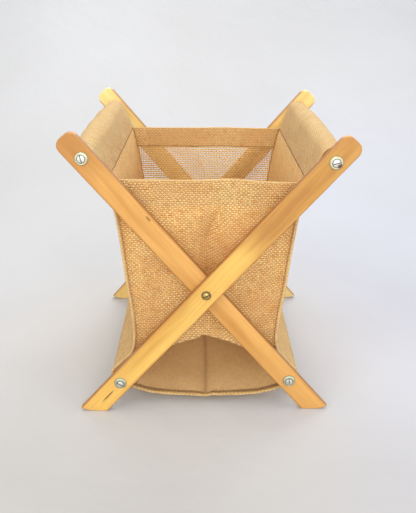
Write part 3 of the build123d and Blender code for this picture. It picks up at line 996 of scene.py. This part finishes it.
def make_lower_ties(cloth):
    """Cloth hidden inside the walls that closes them to the wraps when the frame folds."""
    y_values = np.linspace(-PANEL_Y, PANEL_Y, 40) * 0.985
    for side in (LEFT, RIGHT):
        rows = wall_rows(side, y_values, 44, 0.585, 0.985, inward=1.5 * MM)
        tie = grid_piece(f"tie_{SIDE_NAME[side]}", rows, cloth, 0.7 * MM)
        follow_fold(tie, "sling")


# ---------------------------------------------------------------- dress the CAD nodes
def give(node, material):
    """Puts a material on a CAD node in place of its plain one."""
    mesh = nodes[node].data
    mesh.materials.clear()
    mesh.materials.append(material)
    for face in mesh.polygons:
        face.material_index = 0


def dress_frame():
    """Wood and metal for the CAD pieces that stay visible."""
    honey, amber = (0.73, 0.440, 0.108), (0.58, 0.300, 0.058)
    rose, russet = (0.66, 0.350, 0.098), (0.53, 0.245, 0.056)
    blond, straw = (0.84, 0.60, 0.210), (0.74, 0.450, 0.125)
    looks = {
        "slat_a_front": wood("slat_a_front_wood", 1, 3.0, honey, amber, (0.03, 0.11), crack=True),
        "slat_b_front": wood(
            "slat_b_front_wood", -1, 11.0, rose, russet, (0.13, 0.23), fleck=(0.104, -0.004)
        ),
        "slat_a_back": wood("slat_a_back_wood", 1, 23.0, blond, straw),
        "slat_b_back": wood("slat_b_back_wood", -1, 37.0, (0.90, 0.72, 0.31), blond),
    }
    for level in ("top", "bottom"):
        for index, side in enumerate(("left", "right")):
            shift = 50.0 + 7 * index + 20 * (level == "top")
            looks[f"{level}_bar_{side}"] = wood(f"{level}_bar_{side}_wood", 0, shift, blond, straw)
    rusty_place = centre_of("screw_top_right_front") + Vector((3.5, 0, -3.0)) * MM
    stain = (rusty_place.x, rusty_place.z)
    screw, bolt = length_of("screw_top_right_front"), length_of("pivot_bolt_front")
    white, grey = (0.86, 0.86, 0.80), (0.13, 0.12, 0.075)
    cream, olive = (0.82, 0.82, 0.60), (0.16, 0.16, 0.085)
    head, land = (0.50 * MM, 0.90 * MM), (0.445, 0.50)
    zinc = metal("zinc", white, grey, 0.42, head, screw)
    nickel = metal("nickel", cream, olive, 0.40, land)
    brass = metal("brass", (0.56, 0.40, 0.13), (0.10, 0.065, 0.022), 0.42, (0.8 * MM, 1.3 * MM), bolt)
    # Darker, greener copies for the bottom screws and washers.
    low_zinc = metal("zinc_low", (0.70, 0.72, 0.66), grey, 0.42, head, screw)
    low_nickel = metal("nickel_low", (0.56, 0.60, 0.46), olive, 0.40, land)
    for node in nodes:
        if node.startswith("screw"):
            looks[node] = zinc if "top" in node else low_zinc
        elif node.startswith("cup_washer"):
            looks[node] = nickel if "top" in node else low_nickel
        elif node.startswith("pivot"):
            looks[node] = brass
    looks["screw_top_right_front"] = metal("zinc_rusty", white, grey, 0.42, head, screw, stain)
    looks["cup_washer_top_right_front"] = metal("nickel_rusty", cream, olive, 0.40, land, stain=stain)
    for node, material in looks.items():
        give(node, material)


def make_ground():
    """A pale ground that curves up into a plain backdrop."""
    reach, front, back, rise = 2.2, -1.45, 1.5, 1.2
    profile = [(front, 0.0), (back - rise, 0.0)]
    for a in np.linspace(0, math.pi / 2, 16)[1:]:
        profile.append((back - rise + rise * math.sin(a), rise * (1 - math.cos(a))))
    profile.append((back, 3.0))
    rows = np.array([[(x, y, z) for x in np.linspace(-reach, reach, 9)] for y, z in profile])
    ground = grid_piece("ground", rows, floor_cloth(), 0)


make_camera()
make_light()
make_ground()
dress_frame()

panel_weave = burlap("burlap_panel", 0.34, 0.40, gaps=0.3, drift=3.0)
single_weave = burlap("burlap_single", 0.17, 0.29, gaps=1.0, pale=0.30, drift=0.3, loose=1.35)
wall_weave = burlap("burlap_walls", 0.38, 0.40, gaps=0.3, tint=(1, 0.97, 0.88), pale=0.38, streaks=0.60)
# Painted light: the sling's cloth is paler than the walls', to lift the shade under the bag.
sling_weave = burlap(
    "burlap_sling",
    0.38,
    0.39,
    tint=(1, 0.93, 0.86),
    pale=0.64,
    streaks=0.35,
    glow=0.20,
    crease=SLING_CREASE_X,
)
rim_weave = burlap("burlap_rim", 0.47, 0.47, tint=(0.93, 0.90, 0.82), pale=0.38)
casing_weave = burlap(
    "burlap_casing", 0.45, 0.45, tint=(0.89, 0.88, 0.84), pale=0.46, streaks=0.55, fade=(0.270, 0.306)
)
double_weave = burlap("burlap_double", 0.42, 0.42, tint=(0.97, 0.97, 1.0), pale=0.26)
edge_weave = burlap("burlap_edges", 0.47, 0.47, pale=0.45)
# Painted shade: the sling's hem band is darker, as the shade on the inner face of its rolled lip.
hem_painted_shade_weave = burlap("burlap_hem_painted_shade", 0.45, 0.45, tint=(0.66, 0.60, 0.50))
thread = sewing_thread()

make_walls(wall_weave, edge_weave)
make_top_casings(casing_weave, edge_weave)
make_bottom_wraps(wall_weave, edge_weave)
make_sling(sling_weave, hem_painted_shade_weave, rim_weave, thread)
make_box_strip(panel_weave, single_weave, double_weave, edge_weave, thread)
make_lower_ties(double_weave)
